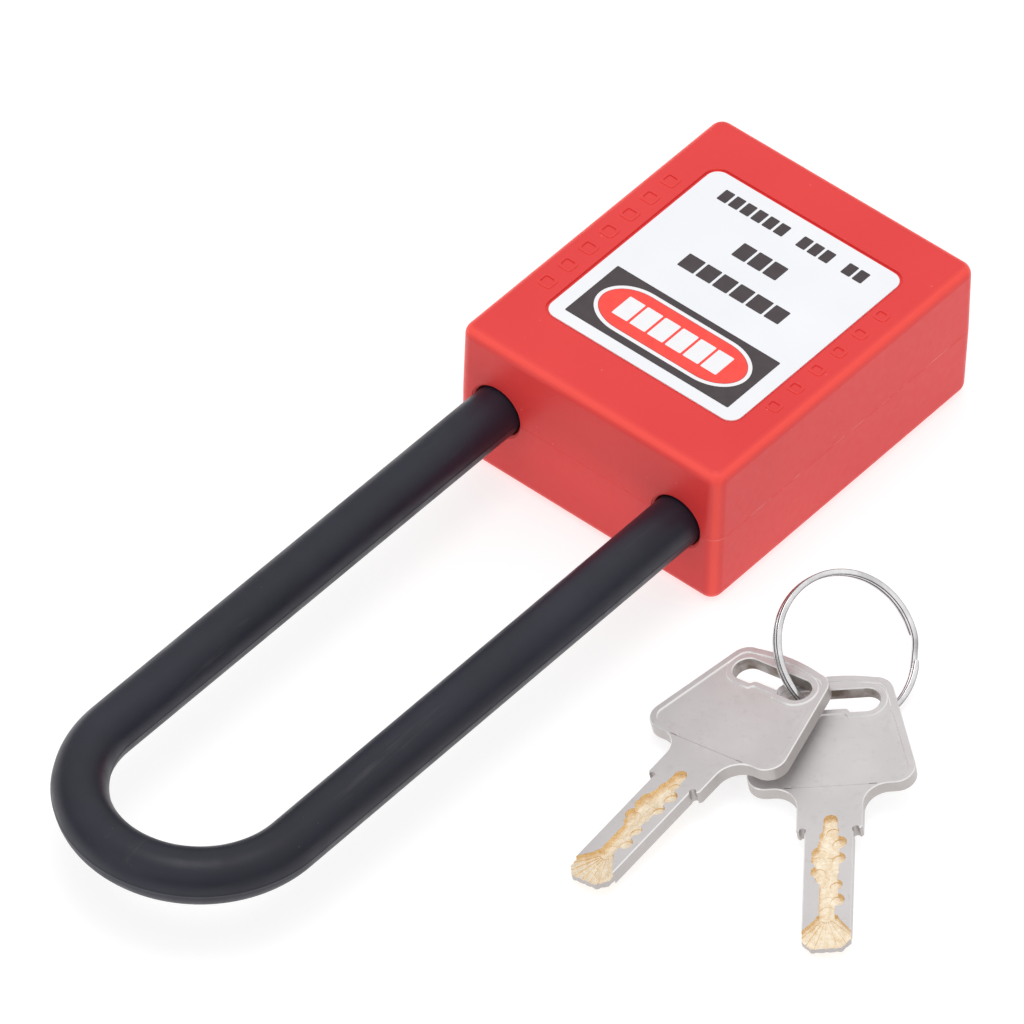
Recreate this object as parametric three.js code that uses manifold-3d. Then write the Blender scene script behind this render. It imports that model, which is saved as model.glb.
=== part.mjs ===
// Safety padlock with a long nylon shackle, its two track keys and their split ring.
// Millimetres, +Z up. The lock lies on its back: +Z is its front and +Y points to the shackle's bow.
// The origin is the middle of the rear face.
import * as THREE from 'three';
import { mergeVertices } from 'three/addons/utils/BufferGeometryUtils.js';
import Module from 'manifold-3d';

const wasm = await Module();
wasm.setup();

// ---------- driving dimensions ----------
const GAP = 0.3; // clearance between pieces that only face each other

const BODY = { width: 38, height: 46.6, depth: 20, corner: 1.7, edge: 1.5, draft: 0.008 };
const MID = BODY.depth / 2; // height of the shell seam and of every lock axis
const FACE = BODY.height / 2; // the shackle's end of the body; -FACE is the key's end

const LABEL = { width: 27.8, height: 30.9, x: -0.4, y: -0.4, corner: 1.6, thick: 0.2, sink: 0.3, margin: 0.35 };

const ROD = { radius: 3.2, spacing: 26.4, clear: 76 };
const LEG = ROD.spacing / 2; // distance of each leg's axis from the middle
const HOLE = ROD.radius + 0.25;
const LIFT = 14; // how far the shackle rises
const TOE_TIP = FACE + 0.5 - LIFT; // the toe leg leaves the body by 0.5 mm
const HEEL_TIP = -4;
const BOW_Y = FACE + ROD.clear - (LEG - ROD.radius); // centre of the bow's arc

const BALL = { radius: 2.8, y: 14.6, travel: 1.65 };
const BALL_BORE = 3;
const TOE_BALL_X = LEG - ROD.radius - 0.15 - BALL.radius; // clear of the toe leg
const HEEL_BALL_X = LEG - ROD.radius + 0.5 - BALL.radius; // stands in the heel leg's relief

const CASE = { halfWidth: 17.2, y0: 8.5, y1: 19.8, halfDepth: 7.4, bore: 6.6, boreEnd: 19 };

const PLUG = { radius: 5.5, flange: 6.3, y0: -23, flangeEnd: -21.6, barrelEnd: 6.3, collarEnd: 7.9 };
const KEYWAY = { halfWidth: 2.95, halfHeight: 1.1, end: -6.5 };
const TAIL = { half: 2, end: 17.7 };
const CLIP = { y0: 6.4, y1: 7, inner: 4.7, outer: 6.6, groove: 4.5, mouth: 6 };
const SLEEVE = { outer: 7.2, inner: 5.6, y0: -21.3, y1: 5.9 };

const WAFER = { count: 6, pitch: 2.2, first: -19.6, thick: 0.9, halfWidth: 5, halfHeight: 2.2, travel: 0.8 };
const TRACK_OFFSETS = [0.1, 0.6, 0.9, -0.3, -0.7, 0.2]; // sideways place of the key's track at each wafer

const CAM = { y0: 12, y1: 17.2, toe: TOE_BALL_X - BALL.radius - GAP, heel: HEEL_BALL_X - BALL.radius - GAP };

const KEY = {
  thick: 1.8, blade: 2.73, shoulder: 16.2, neck: 3.7, neckLength: 3.3, head: 9.45, length: 38,
  tip: 1.7, tipChamfer: 1.1, slotY: 34.3, slotHalf: 3.7, slotRadius: 1.55,
};
const KEY_1 = { at: [-36.08, 66.07], yaw: -88.25, pitch: 6.57, roll: 12.3 };
const KEY_2 = { at: [-62.45, 56.33], yaw: -52.2, pitch: 5, roll: 9.6 };
const RING = { radius: 8.57, wireRadial: 0.7, wireAxial: 0.6, at: [-37.87, 23.05, 6.19], heading: 169.5, lean: 51.5 };

const rad = THREE.MathUtils.degToRad;

// ---------- materials ----------
function finish(color, roughness, metalness) {
  return new THREE.MeshStandardMaterial({ color, roughness, metalness });
}
const RED_PLASTIC = finish(0xd93a38, 0.45, 0);
const LABEL_WHITE = finish(0xf4f5f9, 0.4, 0);
const BLACK_NYLON = finish(0x2b2c30, 0.5, 0);
const ZINC = finish(0x9b9ca0, 0.5, 0.9);
const BRASS = finish(0xc9a55a, 0.35, 1);
const NICKEL = finish(0xcac6c6, 0.3, 1);
const STEEL = finish(0xb9bbc0, 0.25, 1);

// ---------- solids ----------
function solid(geometry) {
  const bare = geometry.clone();
  bare.deleteAttribute('normal');
  bare.deleteAttribute('uv');
  const merged = mergeVertices(bare, 1e-5);
  return new wasm.Manifold(new wasm.Mesh({
    numProp: 3,
    vertProperties: new Float32Array(merged.attributes.position.array),
    triVerts: new Uint32Array(merged.index.array),
  }));
}

function geometryOf(shape) {
  const { vertProperties, triVerts } = shape.getMesh();
  const geometry = new THREE.BufferGeometry();
  geometry.setAttribute('position', new THREE.BufferAttribute(new Float32Array(vertProperties), 3));
  geometry.setIndex(new THREE.BufferAttribute(new Uint32Array(triVerts), 1));
  geometry.computeVertexNormals();
  return geometry;
}

function union(solids) {
  return solids.reduce((sum, next) => sum.add(next));
}

function box(x0, x1, y0, y1, z0, z1) {
  const geometry = new THREE.BoxGeometry(x1 - x0, y1 - y0, z1 - z0);
  return solid(geometry.translate((x0 + x1) / 2, (y0 + y1) / 2, (z0 + z1) / 2));
}

function cylinderY(radius, y0, y1, x = 0, sides = 32) {
  const geometry = new THREE.CylinderGeometry(radius, radius, y1 - y0, sides);
  return solid(geometry.translate(x, (y0 + y1) / 2, MID));
}

function cylinderX(radius, x0, x1, y, sides = 24) {
  const geometry = new THREE.CylinderGeometry(radius, radius, x1 - x0, sides).rotateZ(Math.PI / 2);
  return solid(geometry.translate((x0 + x1) / 2, y, MID));
}

function cylinderZ(radius, z0, z1, x, y, sides = 16) {
  const geometry = new THREE.CylinderGeometry(radius, radius, z1 - z0, sides).rotateX(Math.PI / 2);
  return solid(geometry.translate(x, y, (z0 + z1) / 2));
}

function roundedRectangle(width, height, radius) {
  const x = width / 2 - radius;
  const y = height / 2 - radius;
  const shape = new THREE.Shape();
  shape.absarc(x, y, radius, 0, Math.PI / 2);
  shape.absarc(-x, y, radius, Math.PI / 2, Math.PI);
  shape.absarc(-x, -y, radius, Math.PI, 1.5 * Math.PI);
  shape.absarc(x, -y, radius, 1.5 * Math.PI, 2 * Math.PI);
  return shape;
}

function plate(shape, thickness, curveSegments = 3) {
  return new THREE.ExtrudeGeometry(shape, { depth: thickness, bevelEnabled: false, curveSegments });
}

class Helix extends THREE.Curve {
  constructor(radius, turns, length) {
    super();
    Object.assign(this, { radius, turns, length });
  }

  getPoint(t) {
    const angle = 2 * Math.PI * this.turns * t;
    return new THREE.Vector3(this.radius * Math.cos(angle), this.radius * Math.sin(angle), this.length * t);
  }
}

// A round-wire spring from the origin along +Z.
function coilSpring(radius, wire, turns, length, stepsPerTurn, sides) {
  const section = new THREE.Shape();
  for (let i = 0; i < sides; i += 1) {
    const angle = (2 * Math.PI * i) / sides;
    const x = wire * Math.cos(angle);
    const y = wire * Math.sin(angle);
    if (i === 0) section.moveTo(x, y);
    else section.lineTo(x, y);
  }
  section.closePath();
  return new THREE.ExtrudeGeometry(section, {
    extrudePath: new Helix(radius, turns, length),
    steps: turns * stepsPerTurn,
  });
}

// ---------- body shells and labels ----------
function bodyBlock() {
  const { width, height, depth, corner, edge, draft } = BODY;
  const shape = roundedRectangle(width - 2 * edge, height - 2 * edge, corner - edge);
  const geometry = new THREE.ExtrudeGeometry(shape, {
    depth: depth - 2 * edge, bevelThickness: edge, bevelSize: edge, bevelSegments: 4, curveSegments: 2,
  }).translate(0, 0, edge);
  // both halves narrow slightly away from the seam, as mouldings do
  const places = geometry.attributes.position;
  for (let i = 0; i < places.count; i += 1) {
    const inset = 1 - (draft * Math.abs(places.getZ(i) - MID)) / (width / 2);
    places.setX(i, places.getX(i) * inset);
    places.setY(i, places.getY(i) * inset);
  }
  return solid(geometry);
}

// Everything that is hollow inside the two shells together.
function bodyPockets() {
  const caseRoom = box(
    -CASE.halfWidth - GAP, CASE.halfWidth + GAP, CASE.y0 - GAP, CASE.y1 + GAP,
    MID - CASE.halfDepth - GAP, MID + CASE.halfDepth + GAP,
  );
  const sleeveRoom = cylinderY(SLEEVE.outer + GAP, SLEEVE.y0 - GAP, CASE.y0);
  const plugHole = cylinderY(PLUG.flange + GAP, -FACE - 1, SLEEVE.y0);
  const heelBore = cylinderY(HOLE, -17.6, CASE.y0, LEG);
  const toeBore = cylinderY(HOLE, 6, CASE.y0, -LEG);
  const mouths = [-LEG, LEG].map((x) => cylinderY(HOLE, CASE.y1, FACE + 1, x));
  const toeRooms = [[-18, -7.5], [-5.5, 4.5]].map(([y0, y1]) => box(-17, -9, y0, y1, 2.4, 17.6));
  return union([caseRoom, sleeveRoom, plugHole, heelBore, toeBore, ...mouths, ...toeRooms]);
}

const PEGS = [[-15.5, -20.6], [15.5, -20.6], [-6.5, 21.7], [6.5, 21.7]];
const PEG = { radius: 1, height: 2.4 };

function labelRecess(z0, z1) {
  const margin = 2 * LABEL.margin;
  const shape = roundedRectangle(LABEL.width + margin, LABEL.height + margin, LABEL.corner + LABEL.margin);
  return solid(plate(shape, z1 - z0).translate(LABEL.x, LABEL.y, z0));
}

function label(thickness, z0) {
  const shape = roundedRectangle(LABEL.width, LABEL.height, LABEL.corner);
  return plate(shape, thickness).translate(LABEL.x, LABEL.y, z0);
}

function frontShell(block, pockets) {
  const sockets = PEGS.map(([x, y]) => cylinderZ(PEG.radius + GAP, MID - 1, MID + PEG.height + GAP, x, y));
  return block
    .intersect(box(-30, 30, -30, 30, MID, 30))
    .subtract(pockets)
    .subtract(union(sockets))
    .subtract(labelRecess(BODY.depth - LABEL.sink, BODY.depth + 1));
}

function rearShell(block, pockets) {
  const pegs = PEGS.map(([x, y]) => cylinderZ(PEG.radius, MID - 1, MID + PEG.height, x, y));
  return block
    .intersect(box(-30, 30, -30, 30, -10, MID))
    .subtract(pockets)
    .subtract(labelRecess(-1, LABEL.sink))
    .add(union(pegs));
}

// ---------- lock works ----------
function lockCase() {
  const { halfWidth, y0, y1, halfDepth, bore, boreEnd } = CASE;
  const block = box(-halfWidth, halfWidth, y0, y1, MID - halfDepth, MID + halfDepth);
  const legBores = [-LEG, LEG].map((x) => cylinderY(HOLE, y0 - 1, y1 + 1, x));
  const camBore = cylinderY(bore, y0 - 1, boreEnd);
  const ballBore = cylinderX(BALL_BORE, -LEG, LEG, BALL.y);
  return block.subtract(union([...legBores, camBore, ballBore]));
}

function ball(x) {
  return new THREE.SphereGeometry(BALL.radius, 16, 10).translate(x, BALL.y, MID);
}

// Cam radius against the angle from +X towards -Z. Two spirals push the balls out evenly as it turns.
function camRadius(angle) {
  const quarter = Math.PI / 2;
  const rise = BALL.travel / quarter;
  const margin = rad(8);
  const heelEnd = quarter + margin;
  const toeStart = Math.PI - margin;
  const toeEnd = toeStart + quarter + 2 * margin;
  if (angle <= heelEnd) return CAM.heel + rise * angle;
  if (angle < toeStart) {
    const share = Math.min(1, (angle - heelEnd) / rad(30));
    return THREE.MathUtils.lerp(CAM.heel + rise * heelEnd, CAM.toe - rise * margin, share);
  }
  if (angle <= toeEnd) return CAM.toe + rise * (angle - Math.PI);
  const share = Math.min(1, (angle - toeEnd) / rad(30));
  return THREE.MathUtils.lerp(CAM.toe + rise * (toeEnd - Math.PI), CAM.heel - rise * margin, share);
}

function cam() {
  const shape = new THREE.Shape();
  const points = 72;
  for (let i = 0; i < points; i += 1) {
    const angle = (2 * Math.PI * i) / points;
    const radius = camRadius(angle);
    const x = radius * Math.cos(angle);
    const down = radius * Math.sin(angle);
    if (i === 0) shape.moveTo(x, down);
    else shape.lineTo(x, down);
  }
  shape.closePath();
  // the shape's plane is X against -Z, and its thickness runs along +Y
  const body = plate(shape, CAM.y1 - CAM.y0).rotateX(-Math.PI / 2).translate(0, CAM.y0, MID);
  const hole = TAIL.half + 0.1;
  return solid(body).subtract(box(-hole, hole, CAM.y0 - 1, CAM.y1 + 1, MID - hole, MID + hole));
}

const CAM_SCREW = { shank: 0.9, head: 2.2, length: 5, headHeight: 0.9 };

function camScrew() {
  const { shank, head, length, headHeight } = CAM_SCREW;
  const start = TAIL.end + 0.1;
  const body = cylinderY(shank, start - length, start + 0.1, 0, 12).add(cylinderY(head, start, start + headHeight, 0, 20));
  const slot = box(-head - 1, head + 1, start + headHeight - 0.4, start + 2, MID - 0.3, MID + 0.3);
  return body.subtract(slot);
}

function waferY(index) {
  return WAFER.first + WAFER.pitch * index;
}

const SPRING_SEAT = -3.2; // where each wafer's spring pushes on it
const SPRING_Z = MID + 1.65;

function plug() {
  const barrel = cylinderY(PLUG.radius, PLUG.flangeEnd - 0.1, PLUG.barrelEnd, 0, 48);
  const flange = cylinderY(PLUG.flange, PLUG.y0, PLUG.flangeEnd, 0, 48);
  const neck = cylinderY(CLIP.groove, PLUG.barrelEnd - 0.1, 7.2, 0, 32);
  const collar = cylinderY(PLUG.radius, 7.1, PLUG.collarEnd, 0, 32);
  const tail = box(-TAIL.half, TAIL.half, PLUG.collarEnd - 0.1, TAIL.end, MID - TAIL.half, MID + TAIL.half);
  const keyway = box(
    -KEYWAY.halfWidth, KEYWAY.halfWidth, PLUG.y0 - 1, KEYWAY.end,
    MID - KEYWAY.halfHeight, MID + KEYWAY.halfHeight,
  );
  const slots = [];
  for (let i = 0; i < WAFER.count; i += 1) {
    const half = WAFER.thick / 2 + 0.15;
    const height = WAFER.halfHeight + 0.15;
    slots.push(box(-WAFER.halfWidth - 0.15, 8, waferY(i) - half, waferY(i) + half, MID - height, MID + height));
  }
  const screwHole = cylinderY(CAM_SCREW.shank + 0.1, TAIL.end - CAM_SCREW.length - 0.4, TAIL.end + 1, 0, 12);
  return union([barrel, flange, neck, collar, tail]).subtract(union([keyway, screwHole, ...slots]));
}

function wafer(index) {
  const { thick, halfWidth, halfHeight } = WAFER;
  const y0 = waferY(index) - thick / 2;
  const y1 = waferY(index) + thick / 2;
  const slab = box(-halfWidth, halfWidth, y0, y1, MID - halfHeight, MID + halfHeight);
  const window = box(-3.7, 3.05, y0 - 1, y1 + 1, MID - 1.2, MID + 1.2);
  const springNotch = box(-halfWidth - 1, SPRING_SEAT, y0 - 1, y1 + 1, MID + 1.1, MID + halfHeight + 1);
  const track = TRACK_OFFSETS[index];
  const follower = box(track - 0.3, track + 0.3, y0, y1, MID + 0.5, MID + 1.3);
  return slab.subtract(window).subtract(springNotch).add(follower);
}

function waferSpring(index) {
  const start = -WAFER.halfWidth + 0.1;
  const geometry = coilSpring(0.32, 0.11, 4, SPRING_SEAT - start - 0.25, 7, 4);
  return geometry.rotateY(Math.PI / 2).translate(start + 0.13, waferY(index), SPRING_Z);
}

function sleeve() {
  const { outer, inner, y0, y1 } = SLEEVE;
  const tube = cylinderY(outer, y0, y1, 0, 48).subtract(cylinderY(inner, y0 - 1, y1 + 1, 0, 48));
  const grooveStart = waferY(0) - 1;
  const grooveEnd = waferY(WAFER.count - 1) + 1;
  const sideGroove = box(4, 6.05, grooveStart, grooveEnd, MID - 2.4, MID + 2.4);
  const topGroove = box(-2.4, 2.4, grooveStart, grooveEnd, MID + 4, MID + 6.05);
  return tube.subtract(sideGroove).subtract(topGroove);
}

function plugClip() {
  const ring = cylinderY(CLIP.outer, CLIP.y0, CLIP.y1).subtract(cylinderY(CLIP.inner, CLIP.y0 - 1, CLIP.y1 + 1));
  const mouth = CLIP.mouth / 2;
  return ring.subtract(box(-mouth, mouth, CLIP.y0 - 1, CLIP.y1 + 1, MID - 10, MID));
}

// ---------- shackle ----------
class Bow extends THREE.Curve {
  getPoint(t) {
    const angle = Math.PI * (1 - t);
    return new THREE.Vector3(LEG * Math.cos(angle), BOW_Y + LEG * Math.sin(angle), MID);
  }
}
function shackle() {
  const sides = 20;
  const section = new THREE.Shape();
  section.absarc(0, 0, ROD.radius, 0, 2 * Math.PI);
  const bow = solid(new THREE.ExtrudeGeometry(section, {
    extrudePath: new Bow(), steps: 22, curveSegments: sides / 2,
  }));
  const toe = cylinderY(ROD.radius, TOE_TIP, BOW_Y + 0.02, -LEG, sides);
  const heel = cylinderY(ROD.radius, HEEL_TIP, BOW_Y + 0.02, LEG, sides);
  const notch = (x) => solid(new THREE.SphereGeometry(BALL_BORE, 16, 10).translate(x, BALL.y, MID));
  const toeNotch = notch(-TOE_BALL_X - BALL.travel);
  const heelNotch = notch(HEEL_BALL_X + BALL.travel);
  // the heel's relief lets its ball hold the raised shackle; the neck lets it swivel there
  const relief = box(0, LEG - ROD.radius + 0.8, HEEL_TIP + 2.7, BALL.y, 0, BODY.depth);
  const neckSleeve = cylinderY(ROD.radius + 1, HEEL_TIP + 2.7, HEEL_TIP + 6.6, LEG, sides);
  const neck = neckSleeve.subtract(cylinderY(ROD.radius - 0.8, HEEL_TIP, HEEL_TIP + 9, LEG, sides));
  return union([bow, toe, heel]).subtract(union([toeNotch, heelNotch, relief, neck]));
}

function shackleSpring() {
  const start = -17.4;
  const length = HEEL_TIP - start - 1;
  return coilSpring(2.3, 0.35, 7, length, 12, 5).rotateX(-Math.PI / 2).translate(LEG, start + 0.5, MID);
}

// ---------- keys and ring ----------
function keyOutline() {
  const { blade, shoulder, neck, neckLength, head, length, tip, tipChamfer } = KEY;
  const flare = 2.8;
  const lobe = 2.2;
  const crown = 2.2;
  const slope = rad(13.5);
  const flareX = neck + flare;
  const neckTop = shoulder + neckLength;
  const lobeX = head - lobe;
  const lobeY = neckTop + flare + lobe;
  const crownX = 4.6;
  const crownY = length - crown - 0.15;
  const shape = new THREE.Shape();
  shape.moveTo(-tip, 0);
  shape.lineTo(tip, 0);
  shape.lineTo(blade, tipChamfer);
  shape.lineTo(blade, shoulder);
  shape.lineTo(neck, shoulder);
  shape.lineTo(neck, neckTop);
  shape.absarc(flareX, neckTop, flare, Math.PI, Math.PI / 2, true);
  shape.absarc(lobeX, lobeY, lobe, -Math.PI / 2, slope);
  shape.absarc(crownX, crownY, crown, slope, Math.PI / 2);
  shape.quadraticCurveTo(0, length + 0.15, -crownX, crownY + crown);
  shape.absarc(-crownX, crownY, crown, Math.PI / 2, Math.PI - slope);
  shape.absarc(-lobeX, lobeY, lobe, Math.PI - slope, 1.5 * Math.PI);
  shape.absarc(-flareX, neckTop, flare, Math.PI / 2, 0, true);
  shape.lineTo(-neck, shoulder);
  shape.lineTo(-blade, shoulder);
  shape.lineTo(-blade, tipChamfer);
  shape.closePath();
  return shape;
}

function keySlot() {
  const { slotY, slotHalf, slotRadius } = KEY;
  const hole = new THREE.Path();
  hole.absarc(slotHalf, slotY, slotRadius, -Math.PI / 2, Math.PI / 2);
  hole.absarc(-slotHalf, slotY, slotRadius, Math.PI / 2, 1.5 * Math.PI);
  hole.quadraticCurveTo(-2, slotY - slotRadius, 0, slotY - 0.6);
  hole.quadraticCurveTo(2, slotY - slotRadius, slotHalf, slotY - slotRadius);
  return hole;
}

// The milled track: a wavy groove that opens into a fan at the tip.
function keyTrack() {
  const depth = 0.55;
  const width = 0.75;
  const shape = new THREE.Shape();
  const left = [];
  shape.moveTo(-1.5, -0.5);
  shape.lineTo(1.5, -0.5);
  for (let i = 0; i < WAFER.count; i += 1) {
    const y = 3.4 + WAFER.pitch * i;
    const x = TRACK_OFFSETS[i];
    shape.lineTo(x + width, y);
    left.push([x - width, y]);
  }
  left.reverse().forEach(([x, y]) => shape.lineTo(x, y));
  shape.closePath();
  const groove = plate(shape, 2 * depth);
  return solid(groove.clone().translate(0, 0, KEY.thick - depth)).add(solid(groove.translate(0, 0, -depth)));
}

function key() {
  const shape = keyOutline();
  shape.holes.push(keySlot());
  return geometryOf(solid(plate(shape, KEY.thick, 3)).subtract(keyTrack()));
}

// Two turns of flat wire side by side, with one short step from the first turn to the second.
class SplitRing extends THREE.Curve {
  getPoint(t) {
    const step = rad(20);
    const angle = step + (4 * Math.PI - step) * t;
    const offset = (RING.wireAxial + 0.06) / 2;
    const blend = THREE.MathUtils.smoothstep(angle, 2 * Math.PI, 2 * Math.PI + step);
    const place = angle - rad(37);
    const { radius } = RING;
    return new THREE.Vector3(radius * Math.cos(place), radius * Math.sin(place), offset * (2 * blend - 1));
  }
}

function keyRing() {
  const along = RING.wireRadial / 2;
  const across = RING.wireAxial / 2;
  const corners = [
    [across, 0], [across / 2, along], [-across / 2, along], [-across, 0], [-across / 2, -along], [across / 2, -along],
  ];
  const section = new THREE.Shape(corners.map(([x, y]) => new THREE.Vector2(x, y)));
  return new THREE.ExtrudeGeometry(section, { extrudePath: new SplitRing(), steps: 96 });
}

// ---------- assembly ----------
const padlock = new THREE.Group();

function add(name, shape, material, parent = padlock) {
  const geometry = shape.isBufferGeometry ? shape : geometryOf(shape);
  const mesh = new THREE.Mesh(geometry, material);
  mesh.name = name;
  parent.add(mesh);
}

// A group standing at a key's tip, on the surface, with +Y along the key.
function keyGroup({ at, yaw, pitch, roll }) {
  const group = new THREE.Group();
  group.rotation.set(rad(pitch), -rad(roll), rad(yaw - 90), 'ZXY');
  const tilt = Math.sin(rad(roll)) * Math.cos(rad(pitch));
  const lowest = Math.max(KEY.tip * tilt, KEY.blade * tilt - KEY.tipChamfer * Math.sin(rad(pitch)));
  const floorGap = 0.05;
  group.position.set(at[0], at[1], lowest + floorGap);
  padlock.add(group);
  return group;
}

const block = bodyBlock();
const pockets = bodyPockets();
add('front_shell', frontShell(block, pockets), RED_PLASTIC);
add('rear_shell', rearShell(block, pockets), RED_PLASTIC);
add('front_label', label(LABEL.thick, BODY.depth - LABEL.sink), LABEL_WHITE);
add('rear_label', label(LABEL.sink, 0), LABEL_WHITE);

add('lock_case', lockCase(), ZINC);
add('ball_toe', ball(-TOE_BALL_X), STEEL);
add('ball_heel', ball(HEEL_BALL_X), STEEL);
add('cam', cam(), ZINC);
add('cam_screw', camScrew(), STEEL);
add('cylinder_sleeve', sleeve(), ZINC);
add('plug', plug(), BRASS);
add('plug_clip', plugClip(), STEEL);
for (let i = 0; i < WAFER.count; i += 1) {
  add(`wafer_${i + 1}`, wafer(i), BRASS);
  add(`wafer_spring_${i + 1}`, waferSpring(i), STEEL);
}

add('shackle', shackle(), BLACK_NYLON);
add('shackle_spring', shackleSpring(), STEEL);

add('key_1', key(), NICKEL, keyGroup(KEY_1));
add('key_2', key(), NICKEL, keyGroup(KEY_2));
const ringGroup = new THREE.Group();
ringGroup.rotation.set(rad(90 - RING.lean), 0, rad(RING.heading + 90), 'ZXY');
ringGroup.position.set(...RING.at);
padlock.add(ringGroup);
add('key_ring', keyRing(), STEEL, ringGroup);

export default padlock;
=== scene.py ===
# Looks of the safety padlock: shells, label, nylon shackle, track keys and split ring.
# Lengths are written in millimetres and turned into metres when a piece is finished.
import math

import bmesh
import bpy
from mathutils import Matrix, Vector


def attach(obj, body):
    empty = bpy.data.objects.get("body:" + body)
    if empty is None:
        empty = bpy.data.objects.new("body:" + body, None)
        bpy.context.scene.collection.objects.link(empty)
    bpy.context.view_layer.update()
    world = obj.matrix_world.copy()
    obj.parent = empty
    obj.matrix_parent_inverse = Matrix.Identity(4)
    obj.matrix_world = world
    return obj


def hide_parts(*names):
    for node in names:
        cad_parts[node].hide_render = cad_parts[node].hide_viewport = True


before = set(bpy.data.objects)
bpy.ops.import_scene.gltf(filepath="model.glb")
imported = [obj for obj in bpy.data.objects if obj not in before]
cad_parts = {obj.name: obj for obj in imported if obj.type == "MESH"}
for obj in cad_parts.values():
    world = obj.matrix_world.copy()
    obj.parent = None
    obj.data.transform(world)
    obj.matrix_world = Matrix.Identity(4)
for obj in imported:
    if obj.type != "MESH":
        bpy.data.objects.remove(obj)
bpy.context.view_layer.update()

MM = 0.001
collection = bpy.context.scene.collection

# ---------- sizes, as in the CAD model ----------
BODY = dict(width=38.0, height=46.6, depth=20.0, corner=1.7, edge=1.5, draft=0.008)
MID = BODY["depth"] / 2
FACE = BODY["height"] / 2
LABEL = dict(width=27.8, height=30.9, x=-0.4, y=-0.4, corner=1.6, top=19.9, bottom=19.7, margin=0.35)
ROD = 3.2  # radius of the shackle's rod
LEG = 13.2  # distance of a leg from the middle
HOLE = 3.33  # radius of a leg's bore
BOW_Y = 89.3  # where the legs pass into the bow
TOE_TIP = 9.8  # end of the short leg
HEEL_TIP = -4.0  # end of the long leg
BALL_Y = 14.6
BALL_RADIUS = 2.8
BALL_TRAVEL = 1.65
CASE_ROOM_Y = (8.2, 20.1)  # from where to where the shells leave room for the lock's case
# the slot's radius is 0.08 larger than the CAD's, so that this finer ring clears the keys at every pose
KEY = dict(
    thick=1.8, blade=2.73, shoulder=16.2, neck=3.7, neck_length=3.3, flare=2.8, head=9.45, length=38.0,
    tip=1.7, tip_chamfer=1.1, slot_y=34.3, slot_half=3.7, slot_radius=1.63,
)
HEAD_START = KEY["shoulder"] + KEY["neck_length"] + KEY["flare"]
# at is the middle of the key's tip; all angles are in degrees
KEYS = {
    "key_1": dict(at=(-36.08, 66.07), yaw=-88.25, pitch=6.57, roll=12.3),
    "key_2": dict(at=(-62.45, 56.33), yaw=-52.2, pitch=5.0, roll=9.6),
}
RING = dict(radius=8.57, radial=0.7, axial=0.6, at=(-37.87, 23.05, 6.19), heading=169.5, lean=51.5)


# ---------- meshes ----------
def new_object(name, verts, faces, material=None):
    mesh = bpy.data.meshes.new(name)
    mesh.from_pydata([tuple(v) for v in verts], [], faces)
    if material:
        mesh.materials.append(material)
    obj = bpy.data.objects.new(name, mesh)
    collection.objects.link(obj)
    bm = bmesh.new()
    bm.from_mesh(mesh)
    bmesh.ops.recalc_face_normals(bm, faces=bm.faces)
    bm.to_mesh(mesh)
    bm.free()
    return obj


def loft(name, rings, material=None):
    """A closed solid through rings of equally many points, capped at both ends."""
    count = len(rings[0])
    verts = [p for ring in rings for p in ring]
    faces = []
    for r in range(len(rings) - 1):
        for i in range(count):
            j = (i + 1) % count
            faces.append((r * count + i, r * count + j, (r + 1) * count + j, (r + 1) * count + i))
    faces.append(tuple(reversed(range(count))))
    faces.append(tuple((len(rings) - 1) * count + i for i in range(count)))
    return new_object(name, verts, faces, material)


def arc(cx, cy, radius, start, end, steps):
    """Points on an arc, angles in degrees, both ends included."""
    points = []
    for i in range(steps + 1):
        a = math.radians(start + (end - start) * i / steps)
        points.append((cx + radius * math.cos(a), cy + radius * math.sin(a)))
    return points


def curve(a, b, c, steps):
    """Points on a quadratic curve from a to c, without a."""
    points = []
    for i in range(1, steps + 1):
        t = i / steps
        u = 1 - t
        points.append(tuple(u * u * a[k] + 2 * u * t * b[k] + t * t * c[k] for k in (0, 1)))
    return points


def offset(loop, distance):
    """The loop moved outwards by distance, or inwards if it is negative. The loop runs anticlockwise."""
    count = len(loop)
    moved = []
    for i in range(count):
        before, here, after = (Vector(loop[(i + k) % count]) for k in (-1, 0, 1))
        first = (here - before).normalized()
        second = (after - here).normalized()
        n1 = Vector((first.y, -first.x))
        n2 = Vector((second.y, -second.x))
        mean = (n1 + n2).normalized()
        moved.append(tuple(here + mean * (distance / max(0.5, mean.dot(n1)))))
    return moved


def prism(name, loop, z0, z1, material=None, chamfer=0.0):
    """A plate, with chamfered edges if asked for."""
    levels = [(z0, loop), (z1, loop)]
    if chamfer:
        inner = offset(loop, -chamfer)
        levels = [(z0, inner), (z0 + chamfer, loop), (z1 - chamfer, loop), (z1, inner)]
    return loft(name, [[(x, y, z) for x, y in outline] for z, outline in levels], material)


def layers(name, outline, levels, material=None):
    """A solid whose outline is outline(grow) at each level (z, grow)."""
    return loft(name, [[(x, y, z) for x, y in outline(grow)] for z, grow in levels], material)


def rounded_rectangle(x0, x1, y0, y1, radius, steps=8):
    left, right, low, high = x0 + radius, x1 - radius, y0 + radius, y1 - radius
    points = []
    for quarter, (x, y) in enumerate(((right, high), (left, high), (left, low), (right, low))):
        points += arc(x, y, radius, 90 * quarter, 90 * quarter + 90, steps)
    return points


def box(name, x0, x1, y0, y1, z0, z1, material=None):
    return prism(name, [(x0, y0), (x1, y0), (x1, y1), (x0, y1)], z0, z1, material)


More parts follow.
